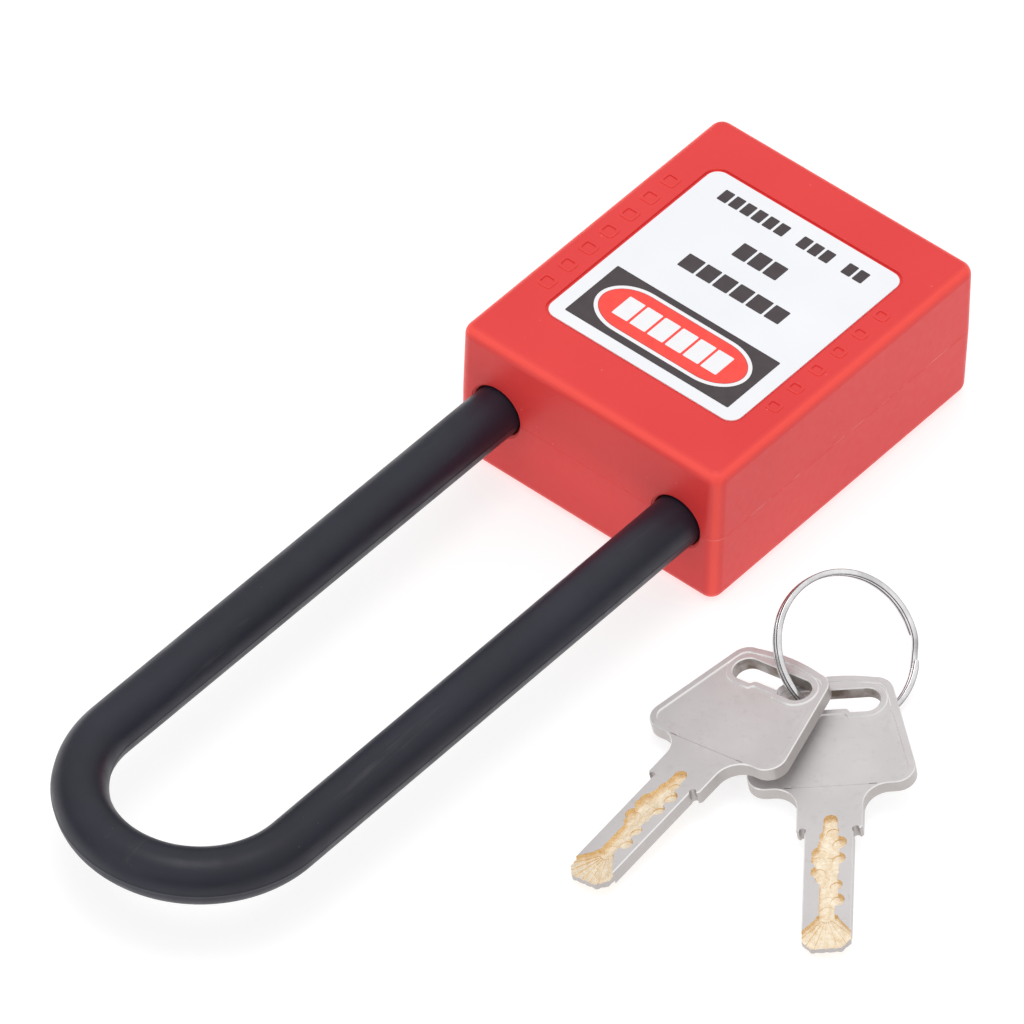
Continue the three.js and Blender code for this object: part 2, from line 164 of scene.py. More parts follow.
def lathe_y(name, profile, x=0.0, z=MID, sides=96, material=None):
    """A solid of revolution about a line along Y; the profile is (y, radius) from one end to the other."""
    rings = []
    for y, radius in profile:
        angles = [2 * math.pi * i / sides for i in range(sides)]
        rings.append([(x + radius * math.cos(a), y, z + radius * math.sin(a)) for a in angles])
    return loft(name, rings, material)


def disc_z(name, x, y, radius, z0, z1, sides, material):
    return prism(name, arc(x, y, radius, 0, 360 * (sides - 1) / sides, sides - 1), z0, z1, material)


def apply_modifiers(obj):
    graph = bpy.context.evaluated_depsgraph_get()
    mesh = bpy.data.meshes.new_from_object(obj.evaluated_get(graph))
    obj.modifiers.clear()
    obj.data = mesh


def combine(target, tools, operation="DIFFERENCE"):
    """Cuts the tools out of the target, or joins them to it. Cut faces take the tool's material."""
    for tool in tools:
        modifier = target.modifiers.new("combine", "BOOLEAN")
        modifier.operation = operation
        modifier.solver = "EXACT"
        modifier.object = tool
        modifier.material_mode = "TRANSFER"
    apply_modifiers(target)
    for tool in tools:
        bpy.data.objects.remove(tool)
    return target


def join(target, others):
    """Puts the others' faces into the target's mesh."""
    bm = bmesh.new()
    bm.from_mesh(target.data)
    for other in others:
        names = [m.name for m in target.data.materials]
        start = len(bm.faces)
        bm.from_mesh(other.data)
        bm.faces.ensure_lookup_table()
        if other.data.materials and names:
            own = other.data.materials[0].name
            if own not in names:
                target.data.materials.append(other.data.materials[0])
                names.append(own)
            for face in bm.faces[start:]:
                face.material_index = names.index(own)
        bpy.data.objects.remove(other)
    bm.to_mesh(target.data)
    bm.free()


def finish(obj, name, body, replaced, matrix=None, sharp=32):
    """Scales the piece to metres, smooths its shading and puts it on its CAD body."""
    obj.name = name
    bm = bmesh.new()
    bm.from_mesh(obj.data)
    bmesh.ops.remove_doubles(bm, verts=bm.verts, dist=1e-4)
    bmesh.ops.dissolve_degenerate(bm, dist=1e-4, edges=bm.edges)
    limit = math.radians(sharp)
    for face in bm.faces:
        face.smooth = True
    for edge in bm.edges:
        edge.smooth = len(edge.link_faces) == 2 and edge.calc_face_angle(math.pi) < limit
    bmesh.ops.scale(bm, vec=(MM, MM, MM), verts=bm.verts)
    bm.to_mesh(obj.data)
    bm.free()
    obj.modifiers.new("normals", "WEIGHTED_NORMAL").keep_sharp = True
    if matrix is not None:
        obj.matrix_world = matrix
    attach(obj, body)
    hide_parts(*replaced)


# ---------- materials ----------
# Distances inside a material are in metres, because it is laid on the finished piece.
class Nodes:
    """A Principled material and the few procedural nodes that the finishes share."""

    def __init__(self, name, color, roughness, metallic=0.0, specular=0.5):
        self.material = bpy.data.materials.new(name)
        self.material.use_nodes = True
        self.tree = self.material.node_tree
        self.shader = self.tree.nodes["Principled BSDF"]
        self.shader.inputs["Base Color"].default_value = (*color, 1)
        self.shader.inputs["Roughness"].default_value = roughness
        self.shader.inputs["Metallic"].default_value = metallic
        self.shader.inputs["Specular IOR Level"].default_value = specular
        self.place = self.tree.nodes.new("ShaderNodeTexCoord").outputs["Object"]
        self.height = None

    def link(self, source, target):
        self.tree.links.new(source, target)

    def stretched(self, scale):
        mapping = self.tree.nodes.new("ShaderNodeMapping")
        mapping.inputs["Scale"].default_value = scale
        self.link(self.place, mapping.inputs["Vector"])
        return mapping.outputs["Vector"]

    def noise(self, scale, detail=3.0, roughness=0.55, stretch=None):
        node = self.tree.nodes.new("ShaderNodeTexNoise")
        node.inputs["Scale"].default_value = scale
        node.inputs["Detail"].default_value = detail
        node.inputs["Roughness"].default_value = roughness
        self.link(self.stretched(stretch) if stretch else self.place, node.inputs["Vector"])
        return node.outputs["Fac"]

    def cells(self, scale):
        node = self.tree.nodes.new("ShaderNodeTexVoronoi")
        node.inputs["Scale"].default_value = scale
        self.link(self.place, node.inputs["Vector"])
        return node.outputs["Distance"]

    def ramp(self, source, low, high, color_low, color_high):
        node = self.tree.nodes.new("ShaderNodeValToRGB")
        node.color_ramp.elements[0].position = low
        node.color_ramp.elements[1].position = high
        node.color_ramp.elements[0].color = (*color_low, 1)
        node.color_ramp.elements[1].color = (*color_high, 1)
        self.link(source, node.inputs["Fac"])
        return node.outputs["Color"]

    def spread(self, source, low, high, to_low, to_high):
        node = self.tree.nodes.new("ShaderNodeMapRange")
        for key, value in zip(("From Min", "From Max", "To Min", "To Max"), (low, high, to_low, to_high)):
            node.inputs[key].default_value = value
        self.link(source, node.inputs["Value"])
        return node.outputs["Result"]

    def mix(self, factor, first, second):
        node = self.tree.nodes.new("ShaderNodeMix")
        node.data_type = "RGBA"
        sockets = [s for s in node.inputs if s.enabled]
        for socket, value in zip(sockets, (factor, first, second)):
            if isinstance(value, (int, float)):
                socket.default_value = value
            elif isinstance(value, tuple):
                socket.default_value = (*value, 1)
            else:
                self.link(value, socket)
        return [s for s in node.outputs if s.enabled][0]

    def math(self, operation, first, second=0):
        node = self.tree.nodes.new("ShaderNodeMath")
        node.operation = operation
        node.use_clamp = operation == "MULTIPLY"
        for socket, value in zip(node.inputs, (first, second)):
            if isinstance(value, (int, float)):
                socket.default_value = value
            else:
                self.link(value, socket)
        return node.outputs["Value"]

    def axes(self, output):
        """The x, y and z of a place or of a face's direction, in the piece's own frame."""
        split = self.tree.nodes.new("ShaderNodeSeparateXYZ")
        self.link(self.place.node.outputs[output], split.inputs["Vector"])
        return split.outputs["X"], split.outputs["Y"], split.outputs["Z"]

    def squareness(self):
        """1 on faces square to an axis, less on rounded edges."""
        x, y, z = (self.math("ABSOLUTE", part) for part in self.axes("Normal"))
        return self.math("MAXIMUM", self.math("MAXIMUM", x, y), z)

    def color(self, source):
        self.link(source, self.shader.inputs["Base Color"])

    def roughness(self, source):
        self.link(source, self.shader.inputs["Roughness"])

    def bump(self, source, distance, strength):
        node = self.tree.nodes.new("ShaderNodeBump")
        node.inputs["Distance"].default_value = distance
        node.inputs["Strength"].default_value = strength
        self.link(source, node.inputs["Height"])
        if self.height:
            self.link(self.height, node.inputs["Normal"])
        self.height = node.outputs["Normal"]
        self.link(self.height, self.shader.inputs["Normal"])


def red_plastic():
    n = Nodes("red_plastic", (0.8, 0.05, 0.048), 0.45, specular=0.27)
    broad = n.ramp(n.noise(45, 2), 0.3, 0.7, (0.77, 0.047, 0.047), (0.82, 0.057, 0.055))
    specks = n.ramp(n.cells(420), 0.02, 0.05, (1, 1, 1), (0, 0, 0))
    # painted highlight: the rounded edges, less square to an axis, get a brighter red
    edges = n.spread(n.squareness(), 0.985, 0.8, 0, 0.9)
    plain = n.mix(edges, n.mix(specks, broad, (0.84, 0.18, 0.17)), (1.0, 0.095, 0.075))
    from_seam = n.math("ABSOLUTE", n.math("SUBTRACT", n.axes("Object")[2], MID * MM))
    patches = n.spread(n.noise(260, 3, 0.7), 0.45, 0.62, 0, 0.8)
    seam = n.math("MULTIPLY", n.spread(from_seam, 0.00004, 0.00008, 1, 0), patches)
    on_sides = n.math("ABSOLUTE", n.axes("Normal")[0])
    n.color(n.mix(n.math("MULTIPLY", seam, on_sides), plain, (0.9, 0.36, 0.34)))
    n.roughness(n.spread(n.noise(900, 4), 0.3, 0.7, 0.34, 0.46))
    n.bump(n.noise(2600, 5), 0.00003, 0.35)
    n.bump(n.noise(160, 2), 0.00008, 0.1)
    return n.material


def black_nylon():
    n = Nodes("black_nylon", (0.015, 0.016, 0.024), 0.45, specular=0.38)
    base = n.ramp(n.noise(60, 3), 0.3, 0.7, (0.0084, 0.009, 0.0178), (0.0158, 0.0168, 0.0305))
    dust = n.ramp(n.cells(500), 0.015, 0.04, (1, 1, 1), (0, 0, 0))
    scuffs = n.ramp(n.noise(400, 4, 0.7, stretch=(1, 0.08, 1)), 0.62, 0.78, (0, 0, 0), (0.5, 0.5, 0.5))
    n.color(n.mix(dust, n.mix(scuffs, base, (0.06, 0.06, 0.065)), (0.09, 0.09, 0.09)))
    n.roughness(n.spread(n.noise(300, 4), 0.3, 0.7, 0.34, 0.5))
    n.bump(n.noise(3000, 4), 0.00003, 0.4)
    n.bump(n.noise(220, 3), 0.00012, 0.3)
    return n.material


def label_white():
    n = Nodes("label_white", (0.9, 0.91, 0.94), 0.35, specular=0.5)
    n.color(n.ramp(n.noise(80, 2), 0.3, 0.7, (0.88, 0.89, 0.925), (0.92, 0.93, 0.955)))
    n.roughness(n.spread(n.noise(600, 3), 0.3, 0.7, 0.3, 0.42))
    n.bump(n.noise(1500, 3), 0.00001, 0.4)
    return n.material


def ink(name, color, other):
    n = Nodes(name, color, 0.4, specular=0.45)
    n.color(n.ramp(n.noise(700, 3), 0.35, 0.65, color, other))
    n.bump(n.noise(2500, 3), 0.00001, 0.4)
    return n.material


def nickel():
    """Plating with a painted highlight on the chamfers and slopes, painted shade on a key's sides and a
    painted dark reflection inside its slot.
    """
    n = Nodes("brushed_nickel", (0.63, 0.6, 0.6), 0.3, metallic=0.45)
    broad = n.ramp(n.noise(110, 3), 0.3, 0.7, (0.58, 0.55, 0.55), (0.67, 0.64, 0.64))
    wear = n.ramp(n.noise(900, 4, 0.7), 0.55, 0.75, (0, 0, 0), (0.5, 0.5, 0.5))
    worn = n.mix(wear, broad, (0.5, 0.47, 0.47))
    slant = n.math("ABSOLUTE", n.axes("Normal")[2])
    # painted highlight: chamfers and the panels' slopes are coloured near white
    rim = n.math("MULTIPLY", n.spread(slant, 0.15, 0.35, 0, 1), n.spread(slant, 0.97, 0.9, 0, 0.8))
    # painted dark reflection inside the slot, on its steep walls, broken up by noise into patches
    across, along, _ = n.axes("Object")
    near_across = n.spread(n.math("ABSOLUTE", across), 0.0054, 0.0057, 1, 0)
    from_slot = n.math("ABSOLUTE", n.math("SUBTRACT", along, KEY["slot_y"] * MM))
    near_along = n.spread(from_slot, 0.0018, 0.002, 1, 0)
    slot_reflection_patches = n.spread(n.noise(330, 3, 0.6), 0.38, 0.6, 0.15, 0.95)
    painted_slot_reflection = n.spread(slant, 0.1, 0.3, 1, 0)
    for mask in (near_across, near_along, slot_reflection_patches):
        painted_slot_reflection = n.math("MULTIPLY", painted_slot_reflection, mask)
    # painted shade: a key's upright sides are mixed towards dark brown
    sides = n.mix(n.spread(slant, 0.05, 0.2, 0.35, 0), worn, (0.33, 0.29, 0.26))
    n.color(n.mix(painted_slot_reflection, n.mix(rim, sides, (0.95, 0.94, 0.93)), (0.16, 0.12, 0.09)))
    lines = n.noise(500, 5, 0.65, stretch=(0.06, 4, 1))
    n.roughness(n.spread(lines, 0.25, 0.75, 0.26, 0.42))
    n.bump(lines, 0.00002, 0.35)
    n.bump(n.noise(900, 3), 0.00002, 0.3)
    return n.material


def ring_steel():
    """Bright wire whose rounded corners carry dark lines of painted shade."""
    n = Nodes("ring_steel", (0.78, 0.77, 0.78), 0.14, metallic=0.8)
    slant = n.math("ABSOLUTE", n.axes("Normal")[2])
    # painted shade: the wire's rounded corners are coloured near black
    corner = n.math("MULTIPLY", n.spread(slant, 0.2, 0.4, 0, 1), n.spread(slant, 0.75, 0.92, 1, 0))
    plain = n.ramp(n.noise(400, 3), 0.3, 0.7, (0.6, 0.59, 0.6), (0.9, 0.89, 0.9))
    n.color(n.mix(corner, plain, (0.07, 0.065, 0.07)))
    n.roughness(n.spread(n.noise(2400, 4), 0.3, 0.7, 0.1, 0.2))
    n.bump(n.noise(4800, 3), 0.00001, 0.5)
    return n.material


def milled_brass():
    n = Nodes("milled_brass", (0.92, 0.8, 0.64), 0.3, metallic=0.6)
    gold = n.ramp(n.noise(1400, 4, 0.7), 0.32, 0.68, (0.82, 0.63, 0.4), (1.0, 0.91, 0.75))
    # painted shade: the steep walls of the pits and grooves are mixed towards dark brown
    painted_wall_shade = n.spread(n.math("ABSOLUTE", n.axes("Normal")[2]), 0.3, 0.8, 0.85, 0)
    n.color(n.mix(painted_wall_shade, gold, (0.86, 0.62, 0.32)))
    n.roughness(n.spread(n.noise(1500, 4), 0.3, 0.7, 0.22, 0.42))
    n.bump(n.noise(1600, 4, 0.6), 0.0001, 0.6)
    return n.material


def metal(name, dark, light, low, high, grain=900, depth=0.00003):
    """Plain metal between two colours and two roughnesses."""
    n = Nodes(name, light, low, metallic=1.0)
    n.color(n.ramp(n.noise(grain / 6, 3), 0.3, 0.7, dark, light))
    n.roughness(n.spread(n.noise(grain, 4), 0.3, 0.7, low, high))
    n.bump(n.noise(grain * 2, 3), depth, 0.5)
    return n.material


RED = red_plastic()
BLACK = black_nylon()
WHITE = label_white()
CHARCOAL = ink("ink_charcoal", (0.05, 0.037, 0.042), (0.06, 0.046, 0.05))
INK_RED = ink("ink_red", (0.96, 0.06, 0.045), (1.0, 0.072, 0.052))
INK_DEEP = ink("ink_deep_red", (0.5, 0.06, 0.07), (0.55, 0.08, 0.08))
INK_WHITE = ink("ink_white", (0.9, 0.9, 0.92), (0.93, 0.93, 0.95))
NICKEL = nickel()
TRACK = milled_brass()
RING_STEEL = ring_steel()
ZINC = metal("cast_zinc", (0.42, 0.42, 0.44), (0.56, 0.56, 0.58), 0.42, 0.6, 700, 0.00006)
BRASS = metal("turned_brass", (0.66, 0.47, 0.2), (0.8, 0.62, 0.32), 0.24, 0.38)
STEEL = metal("spring_steel", (0.56, 0.56, 0.58), (0.7, 0.7, 0.72), 0.2, 0.34)

# the lock works stay as the CAD model has them
INNER = {
    "lock_case": ZINC, "cylinder_sleeve": ZINC, "cam": ZINC, "cam_screw": STEEL, "plug_clip": STEEL,
    "ball_toe": STEEL, "ball_heel": STEEL, "shackle_spring": STEEL,
}
for index in range(1, 7):
    INNER[f"wafer_{index}"] = BRASS
    INNER[f"wafer_spring_{index}"] = STEEL
for node, inner_material in INNER.items():
    for material_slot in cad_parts[node].material_slots:
        material_slot.material = inner_material


# ---------- body shells ----------
def shell_rings(levels):
    """Rings of the body's outline; a level is (z, inset)."""
    rings = []
    half_x, half_y, corner = BODY["width"] / 2, FACE, BODY["corner"]
    for z, inset in levels:
        shrink = 1 - BODY["draft"] * abs(z - MID) / half_x
        radius = corner - inset
        ring = []
        for cx, cy, start in (
            (half_x - corner, half_y - corner, 0), (corner - half_x, half_y - corner, 90),
            (corner - half_x, corner - half_y, 180), (half_x - corner, corner - half_y, 270),
        ):
            ring += [(x * shrink, y * shrink, z) for x, y in arc(cx, cy, radius, start, start + 90, 10)]
        rings.append(ring)
    return rings


def half_body(name, up):
    """One half of the body, from the seam outwards."""
    edge = BODY["edge"]
    seam = 0.04
    levels = [(0, seam), (seam, 0.01), (2 * seam, 0), (4, 0), (MID - edge, 0)]
    for step in range(1, 11):
        a = math.radians(9 * step)
        levels.append((MID - edge + edge * math.sin(a), edge * (1 - math.cos(a))))
    sign = 1 if up else -1
    levels = [(MID + sign * height, inset) for height, inset in levels]
    return loft(name, shell_rings(levels), RED)


def mouth(x):
    """A leg's bore with a rounded rim at the body's end."""
    rim = 0.28
    rim_start = FACE - 0.1 - rim
    profile = [(CASE_ROOM_Y[0], HOLE), (rim_start, HOLE)]
    for step in range(1, 7):
        a = math.radians(15 * step)
        profile.append((rim_start + rim * math.sin(a), HOLE + rim * (1 - math.cos(a))))
    profile.append((FACE + 1, HOLE + rim + 0.3))
    return lathe_y("mouth", profile, x=x, sides=64)


def pockets():
    """Rooms for the lock works, the plug's hole and the two bores. Neighbours overlap a little."""
    reach = CASE_ROOM_Y[0] + 0.1
    sleeve_start, heel_start, toe_start = -21.6, -17.6, 6
    sleeve, hole = 7.5, 6.6
    return [
        box("case_room", -17.5, 17.5, *CASE_ROOM_Y, 2.3, 17.7),
        lathe_y("sleeve_room", [(sleeve_start, sleeve), (reach, sleeve)]),
        lathe_y("plug_hole", [
            (-FACE - 1, hole + 1), (-FACE + 0.1, hole + 0.35), (-FACE + 0.45, hole),
            (sleeve_start + 0.2, hole),
        ]),
        lathe_y("heel_bore", [(heel_start, HOLE), (reach, HOLE)], x=LEG, sides=48),
        lathe_y("toe_bore", [(toe_start, HOLE), (reach, HOLE)], x=-LEG, sides=48),
        mouth(-LEG), mouth(LEG),
    ]


def label_outline(margin=0.0):
    x, y = LABEL["x"], LABEL["y"]
    w, h = LABEL["width"] / 2 + margin, LABEL["height"] / 2 + margin
    return rounded_rectangle(x - w, x + w, y - h, y + h, LABEL["corner"] + margin)


def recess(z0, z1):
    """The label's shallow seat; its rim is softly rounded."""
    outline = label_outline(LABEL["margin"])
    soft = 0.12
    if z1 > MID:
        top = BODY["depth"]
        levels = [(z0, 0), (top - soft, 0), (top - 0.04, 0.03), (top, soft), (z1, soft + 0.5)]
    else:
        levels = [(z0, soft + 0.5), (0, soft), (0.04, 0.03), (soft, 0), (z1, 0)]
    return layers("recess", lambda grow: offset(outline, grow), levels)


front = combine(half_body("front_half", True), pockets() + [recess(LABEL["bottom"], BODY["depth"] + 1)])
rear = combine(half_body("rear_half", False), pockets() + [recess(-1, BODY["depth"] - LABEL["bottom"])])


def pad(x0, x1, y0, y1, low, high, material, radius):
    """A small raised plate with rounded corners and a soft top edge."""
    loop = rounded_rectangle(x0, x1, y0, y1, radius, 4)
    soft = min(0.06, (high - low) / 2)
    levels = [(low, 0), (high - soft, 0), (high, -soft)]
    return layers("pad", lambda grow: offset(loop, grow), levels, material)


def raised_frame(x0, x1, y0, y1):
    """A plain raised frame, in place of a moulded letter."""
    frame_mark = pad(x0, x1, y0, y1, BODY["depth"] - 0.1, BODY["depth"] + 0.12, RED, 0.45)
    stroke = 0.34
    middle = rounded_rectangle(x0 + stroke, x1 - stroke, y0 + stroke, y1 - stroke, 0.2, 3)
    return combine(frame_mark, [prism("middle", middle, 19, 21, RED)])


# one column on each side of the label: how many, where from and to, and how long each frame is
FRAME_COLUMNS = ((7, 15.0, 17.0, -11.6, 12.2, 1.9), (6, -16.9, -15.1, -10.2, 10.6, 1.6))
marks = []
for count, x0, x1, y0, y1, length in FRAME_COLUMNS:
    for index in range(count):
        y = y0 + (y1 - y0 - length) * index / (count - 1)
        marks.append(raised_frame(x0, x1, y, y + length))
join(front, marks)
finish(front, "front_shell_look", "padlock_body", ["front_shell"])
finish(rear, "rear_shell_look", "padlock_body", ["rear_shell"])


# ---------- labels ----------
def oval(grow):
    """The lozenge on the label: straight sides and long rounded ends."""
    cx, cy, half_length, end, half_height = -0.3, 8.65, 10.75 + grow, 5.0 + grow, 3.75 + grow
    points = []
    for side in (1, -1):
        for step in range(31):
            a = math.radians(-90 + 6 * step)
            x = half_length - end + end * math.cos(a)
            points.append((cx + side * x, cy + side * half_height * math.sin(a)))
    return points


TOP = LABEL["top"]
FILM = 0.02  # one layer of print
SPACE = 0  # a blank in a line of blocks
label = prism("label", label_outline(), LABEL["bottom"], TOP, WHITE, chamfer=0.03)
band = rounded_rectangle(-12.2, 11.65, 3.98, 13.4, 0.15, 2)
prints = [
    prism("band", band, TOP - FILM, TOP + FILM, CHARCOAL),
    prism("oval_white", oval(0), TOP, TOP + 2 * FILM, INK_WHITE),
    prism("oval_line", oval(-0.48), TOP, TOP + 2.4 * FILM, INK_DEEP),
    prism("oval_red", oval(-0.56), TOP, TOP + 2.8 * FILM, INK_RED),
]


def blocks(x0, x1, y0, y1, widths, material, top):
    """A line of plain blocks that stands for a line of print. Widths are shares of the line."""
    gap = 0.34
    total = sum(w or 1 for w in widths)
    x = x0
    for w in widths:
        step = (x1 - x0) * (w or 1) / total
        if w:
            outline = rounded_rectangle(x, x + step - gap, y0, y1, 0.12, 2)
            prints.append(prism("block", outline, TOP, top, material))
        x += step


blocks(-7.9, 7.7, 6.9, 10.3, [1] * 6, INK_WHITE, TOP + 3.2 * FILM)
blocks(-8.0, 7.1, -3.0, -0.6, [1, 1.1, 1, 1, 1, 1.1], CHARCOAL, TOP + FILM)
blocks(-3.3, 3.5, -8.4, -5.9, [1] * 3, CHARCOAL, TOP + FILM)
blocks(-10.9, 10.6, -13.8, -11.9, [1] * 2 + [SPACE] + [1] * 3 + [SPACE] + [1] * 6, CHARCOAL, TOP + FILM)
join(label, prints)
finish(label, "front_label_look", "padlock_body", ["front_label"])

back_label = prism("back_label", label_outline(), 0.0, 0.3, WHITE, chamfer=0.03)
rules = [rounded_rectangle(-11.5, 10.7, y, y + 0.25, 0.1, 2) for y in (-10.5, -5, 0.5, 6)]
join(back_label, [prism("rule", outline, -FILM, FILM, CHARCOAL) for outline in rules])
finish(back_label, "rear_label_look", "padlock_body", ["rear_label"])


# ---------- shackle ----------
def section_angles():
    """Angles round the rod, closer together at its two parting lines."""
    angles = [2 * math.pi * i / 64 for i in range(64)]
    for centre in (0, math.pi):
        angles += [centre + d for d in (-0.05, -0.025, 0.025, 0.05)]
    return sorted(a % (2 * math.pi) for a in angles)


def rod_radius(angle):
    """The rod's radius with its fine moulded parting line."""
    away = min(abs(math.sin(angle)), 1)
    return ROD - 0.02 + 0.06 * math.exp(-((away / 0.035) ** 2))


def shackle_path():
    """Points along the shackle with the sideways direction and the share of the full radius there."""
    tip = 0.6
    rounding = []
    for step in range(5):
        a = math.radians(22.5 * step)
        rounding.append((tip * (1 - math.cos(a)), (ROD - tip * (1 - math.sin(a))) / ROD))
    path = [((-LEG, TOE_TIP + rise), (-1, 0), share) for rise, share in rounding]
    path += [((-LEG, y), (-1, 0), 1) for y in range(14, 89, 5)]
    steps = 64
    for i in range(steps + 1):
        a = math.pi * (1 - i / steps)
        direction = (math.cos(a), math.sin(a))
        path.append(((LEG * direction[0], BOW_Y + LEG * direction[1]), direction, 1))
    path += [((LEG, y), (1, 0), 1) for y in range(86, -3, -5)]
    path += [((LEG, HEEL_TIP + rise), (1, 0), share) for rise, share in reversed(rounding)]
    return path


rings = []
for (x, y), (nx, ny), share in shackle_path():
    ring = []
    for angle in section_angles():
        radius = rod_radius(angle) * share
        across = radius * math.cos(angle)
        ring.append((x + nx * across, y + ny * across, MID + radius * math.sin(angle)))
    rings.append(ring)
shackle = loft("shackle_rod", rings, BLACK)


def sphere(x, y, radius):
    profile = []
    for step in range(25):
        a = math.radians(-90 + 7.5 * step)
        profile.append((y + radius * math.sin(a), max(0.001, radius * math.cos(a))))
    return lathe_y("sphere", profile, x=x, sides=48)


# with the lock open one ball is just clear of its leg, and the other stands in the relief along the long leg
toe_ball = LEG - ROD - 0.15 - BALL_RADIUS
heel_ball = LEG - ROD + 0.5 - BALL_RADIUS
notch = BALL_RADIUS + 0.2
notches = [sphere(-toe_ball - BALL_TRAVEL, BALL_Y, notch), sphere(heel_ball + BALL_TRAVEL, BALL_Y, notch)]
neck_start, neck_end, neck_radius = HEEL_TIP + 2.7, HEEL_TIP + 6.6, 2.4
relief = box("relief", 0, LEG - ROD + 0.8, neck_start, BALL_Y, 0, BODY["depth"])
neck = lathe_y("neck", [(neck_start, ROD + 1), (neck_end, ROD + 1)], x=LEG, sides=64)
core = lathe_y("core", [(neck_start - 2, neck_radius), (neck_end + 2, neck_radius)], x=LEG, sides=64)
combine(neck, [core])
combine(shackle, notches + [relief, neck])
finish(shackle, "shackle_look", "shackle", ["shackle"], sharp=40)


# ---------- plug ----------
# face, collar, body, the clip's groove and the end
plug = lathe_y("plug", [
    (-23.0, 5.9), (-22.93, 6.12), (-22.75, 6.3), (-21.7, 6.3), (-21.6, 6.2), (-21.59, 5.5), (6.3, 5.5),
    (6.31, 4.5), (7.2, 4.5), (7.21, 5.4), (7.3, 5.5), (7.8, 5.5), (7.9, 5.4),
], material=BRASS)
tail = 2
combine(plug, [box("tail", -tail, tail, 7.8, 17.7, MID - tail, MID + tail, BRASS)], "UNION")
keyway = rounded_rectangle(-2.95, 2.95, MID - 1.1, MID + 1.1, 0.35, 4)
flared = ((-24, 0.6), (-23.001, 0.3), (-22.75, 0), (-6.5, 0))
cuts = [loft("keyway", [[(x, y, z) for x, z in offset(keyway, grow)] for y, grow in flared], BRASS)]
first_wafer, pitch, half_gap, half_height = -19.6, 2.2, 0.6, 2.35
for index in range(6):
    y = first_wafer + pitch * index
    slot_z = MID - half_height, MID + half_height
    cuts.append(box("wafer_slot", -5.15, 8, y - half_gap, y + half_gap, *slot_z, BRASS))
cuts.append(lathe_y("screw_hole", [(12.3, 1.0), (18.7, 1.0)], sides=24, material=BRASS))
cuts.append(lathe_y("index_dot", [(-24, 0.45), (-22.9, 0.3)], z=MID + 4.6, sides=20, material=BRASS))
combine(plug, cuts)
finish(plug, "plug_look", "plug", ["plug"])


# ---------- keys ----------
def key_outline():
    """The whole outline, from the right of the tip round to its left."""
    k = KEY
    flare, lobe, crown, slope = k["flare"], 2.2, 2.2, 13.5
    flare_x = k["neck"] + flare
    neck_top = k["shoulder"] + k["neck_length"]
    lobe_x, lobe_y = k["head"] - lobe, HEAD_START + lobe
    bulge = 0.5
    crown_x, crown_y = 4.6, k["length"] - crown - bulge
    right = [
        (k["tip"], 0), (k["blade"], k["tip_chamfer"]), (k["blade"], k["shoulder"]),
        (k["neck"] - 0.25, k["shoulder"]), (k["neck"], k["shoulder"] + 0.25),
    ]
    right += arc(flare_x, neck_top, flare, 180, 90, 14)
    right += arc(lobe_x, lobe_y, lobe, -90, slope, 14)
    right += arc(crown_x, crown_y, crown, slope, 90, 10)
    top = (crown_x, crown_y + crown)
    over = curve(top, (0, k["length"] + bulge), (-top[0], top[1]), 16)[:-1]
    left = [(-x, y) for x, y in reversed(right)]
    return right + over + left


def key_slot(grow):
    """The slot's outline moved out by grow: two round ends, and a raised step between them."""
    y, half, r = KEY["slot_y"], KEY["slot_half"], KEY["slot_radius"] + grow
    loop = arc(half, y, r, -90, 90, 14) + arc(-half, y, r, 90, 270, 14)
    foot, step, reach, bend = y - r, 0.55, 0.55, 0.1
    middle = 0.3 * grow - 1.75  # where the step rises
    centre = (middle, foot + step / 2)
    rise = curve((middle - reach, foot), (middle - bend, foot), centre, 4)
    rise += curve(centre, (middle + bend, foot + step), (middle + reach, foot + step), 4)
    return loop + rise + [(-x, height) for x, height in reversed(rise)]


def key_field():
    """The head's sunk panel, without the raised rim round the slot."""
    border = 0.9
    return [(x, y) for x, y in offset(key_outline(), -border) if y > HEAD_START]


# x, y, radius and depth of each pit of the track, from the shoulder down to the tip
TRACK_PITS = [
    (0.15, 17.4, 0.8, 0.6), (0.4, 15.9, 0.75, 0.64), (-0.35, 15.2, 0.7, 0.56), (1.2, 14.3, 0.85, 0.68),
    (0.1, 14.0, 1.2, 0.58), (-1.0, 12.9, 0.85, 0.62), (1.15, 12.1, 0.8, 0.7), (-1.1, 12.0, 0.8, 0.66),
    (0.0, 11.4, 1.2, 0.6), (-1.05, 10.3, 0.85, 0.68), (0.6, 10.3, 0.7, 0.58), (-0.6, 9.3, 0.75, 0.6),
    (0.95, 8.4, 0.75, 0.68), (0.1, 7.7, 0.9, 0.56), (1.15, 6.3, 0.85, 0.66), (0.1, 6.2, 0.95, 0.58),
    (0.05, 4.9, 0.9, 0.62),
]
TRACK_CHANNEL = [
    (-0.85, 3.8), (0.9, 3.8), (0.9, 5.6), (1.25, 6.6), (1.1, 9.4), (1.25, 11.0), (1.25, 14.6), (0.95, 15.6),
    (0.95, 17.4), (-0.6, 17.4), (-0.75, 15.4), (-1.2, 14.0), (-1.4, 12.6), (-1.4, 10.0), (-0.85, 9.0),
]
TRACK_FAN = [
    (-1.9, -1), (1.9, -1), (2.9, 0.6), (2.9, 1.8), (1.5, 3.6),
    (1.2, 4.2), (-1.0, 4.2), (-1.3, 3.6), (-2.9, 2.0), (-2.9, 0.6),
]
CHANNEL_DEPTH, FAN_DEPTH, GROOVE_DEPTH = 0.55, 0.52, 0.6


